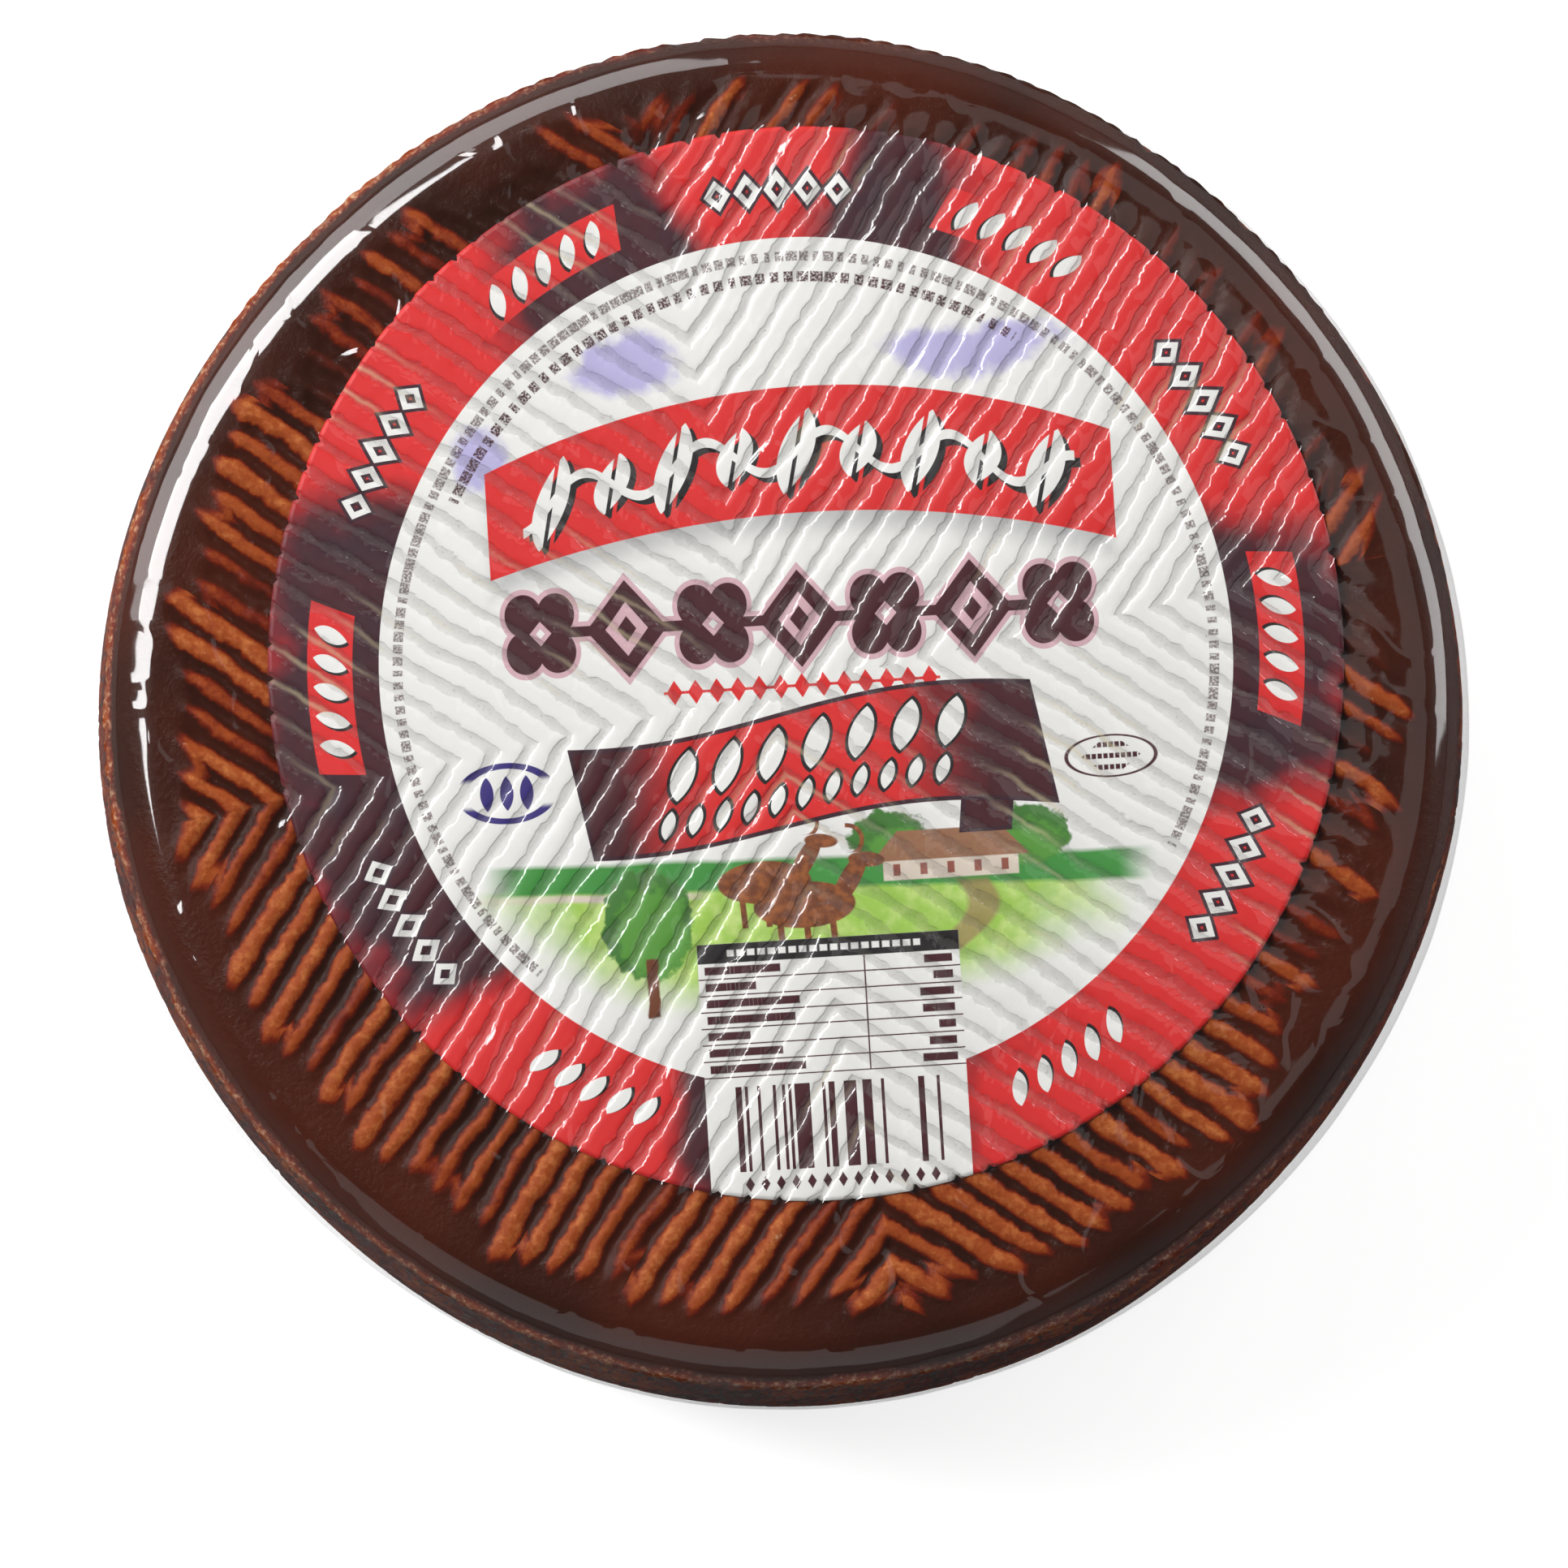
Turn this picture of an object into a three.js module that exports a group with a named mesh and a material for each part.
// A whole cheese wheel as it is sold: a pressed cheese with a dark coated rind, a round paper label
// stuck on its top face, and a clear shrunk bag drawn tight over both.
// Millimetres, +Z up along the wheel's axis. The origin is the middle of the face that it lies on.

import * as THREE from 'three';
import { mergeGeometries } from 'three/addons/utils/BufferGeometryUtils.js';

// ---- driving dimensions ----------------------------------------------------------------------

const wheelRadius = 107; // over the bag, at the fullest part of the side
const wheelHeight = 86; // over the bag, face to face
const sideSwell = 3.5; // how far the side bulges past the two shoulders
const shoulderWidth = 6.5; // across each rounded shoulder, seen from above
const shoulderDrop = 6.5; // down each rounded shoulder, seen from the side
const mouldCorners = 4; // the mould leaves the wheel very slightly four-cornered
const cornerRise = 0.005; // how far the corners stand out, as a share of the radius

const labelBorder = 13.6; // bare rind round a label stuck on dead centre
const labelThickness = 0.3;
const labelShift = { x: 3.7, y: 7.0 }; // the label was stuck on a little off the wheel's middle

const bagThickness = 0.3;
const bagMouthRadius = 3; // the bag's gathered mouth, under the wheel
const clearance = 0.3; // left between faces that lie on each other

// ---- how finely curves are cut ---------------------------------------------------------------

const turns = 64;
const shoulderSteps = 4;
const sideSteps = 6;
const labelSides = 72;

// ---- sizes that follow -----------------------------------------------------------------------

const faceRadius = wheelRadius - sideSwell - shoulderWidth;
const labelRadius = faceRadius - labelBorder;
const cheeseInset = bagThickness + clearance;
const labelBottom = wheelHeight - bagThickness - clearance - labelThickness;
const cheeseTop = labelBottom - clearance;

// ---- outline ---------------------------------------------------------------------------------

// One quarter round of a shoulder, from the face (turn 0) to the side (turn 1).
function shoulderPoint(turn, inset, centreZ, upward) {
  const angle = turn * Math.PI / 2;
  const r = faceRadius + (shoulderWidth - inset) * Math.sin(angle);
  const z = centreZ + upward * (shoulderDrop - inset) * Math.cos(angle);
  return new THREE.Vector2(r, z);
}

// The wheel's half section from the bottom face's rim to the top face's rim, moved in by inset.
// topZ is where the top face lies.
function rimOutline(inset, topZ) {
  const points = [];
  const lowCentre = shoulderDrop;
  const highCentre = topZ + inset - shoulderDrop;
  for (let i = 0; i <= shoulderSteps; i += 1) {
    points.push(shoulderPoint(i / shoulderSteps, inset, lowCentre, -1));
  }
  for (let i = 1; i < sideSteps; i += 1) {
    const share = i / sideSteps;
    const swell = sideSwell * (1 - (2 * share - 1) ** 2);
    const r = faceRadius + shoulderWidth - inset + swell;
    points.push(new THREE.Vector2(r, lowCentre + share * (highCentre - lowCentre)));
  }
  for (let i = shoulderSteps; i >= 0; i -= 1) {
    points.push(shoulderPoint(i / shoulderSteps, inset, highCentre, 1));
  }
  return points;
}

// ---- solids ----------------------------------------------------------------------------------

// Turns a half section about the wheel's axis, then draws the round out to its four soft corners.
function turned(points) {
  const geometry = new THREE.LatheGeometry(points, turns);
  geometry.rotateX(Math.PI / 2);
  const position = geometry.attributes.position;
  for (let i = 0; i < position.count; i += 1) {
    const angle = Math.atan2(position.getY(i), position.getX(i));
    const stretch = 1 + cornerRise * Math.cos(mouldCorners * angle);
    position.setX(i, position.getX(i) * stretch);
    position.setY(i, position.getY(i) * stretch);
  }
  return geometry;
}

function cheeseGeometry() {
  const bottom = new THREE.Vector2(0, cheeseInset);
  const top = new THREE.Vector2(0, cheeseTop);
  return turned([bottom, ...rimOutline(cheeseInset, cheeseTop), top]);
}

function labelGeometry() {
  const disc = new THREE.CylinderGeometry(labelRadius, labelRadius, labelThickness, labelSides);
  disc.rotateX(Math.PI / 2);
  return disc;
}

// The bag is one thin wall: its outside, its inside and the lip round its mouth.
function bagGeometry() {
  const lip = new THREE.Vector2(bagMouthRadius, 0);
  const innerLip = new THREE.Vector2(bagMouthRadius, bagThickness);
  const outside = [lip, ...rimOutline(0, wheelHeight), new THREE.Vector2(0, wheelHeight)];
  const innerTop = wheelHeight - bagThickness;
  const inside = [new THREE.Vector2(0, innerTop), ...rimOutline(bagThickness, innerTop).reverse()];
  return mergeGeometries([turned(outside), turned([...inside, innerLip, lip])]);
}

// ---- scene graph -----------------------------------------------------------------------------

function piece(name, geometry, finish) {
  const mesh = new THREE.Mesh(geometry, new THREE.MeshStandardMaterial(finish));
  mesh.name = name;
  return mesh;
}

const wheel = new THREE.Group();

wheel.add(piece('cheese_wheel', cheeseGeometry(), { color: 0x5a2a1a, roughness: 0.4, metalness: 0 }));

const label = piece('label', labelGeometry(), { color: 0xc23a34, roughness: 0.6, metalness: 0 });
label.position.set(labelShift.x, labelShift.y, labelBottom + labelThickness / 2);
wheel.add(label);

const bagFinish = { color: 0xdfe3e2, roughness: 0.1, metalness: 0, transparent: true, opacity: 0.2 };
wheel.add(piece('shrink_film', bagGeometry(), bagFinish));

export default wheel;
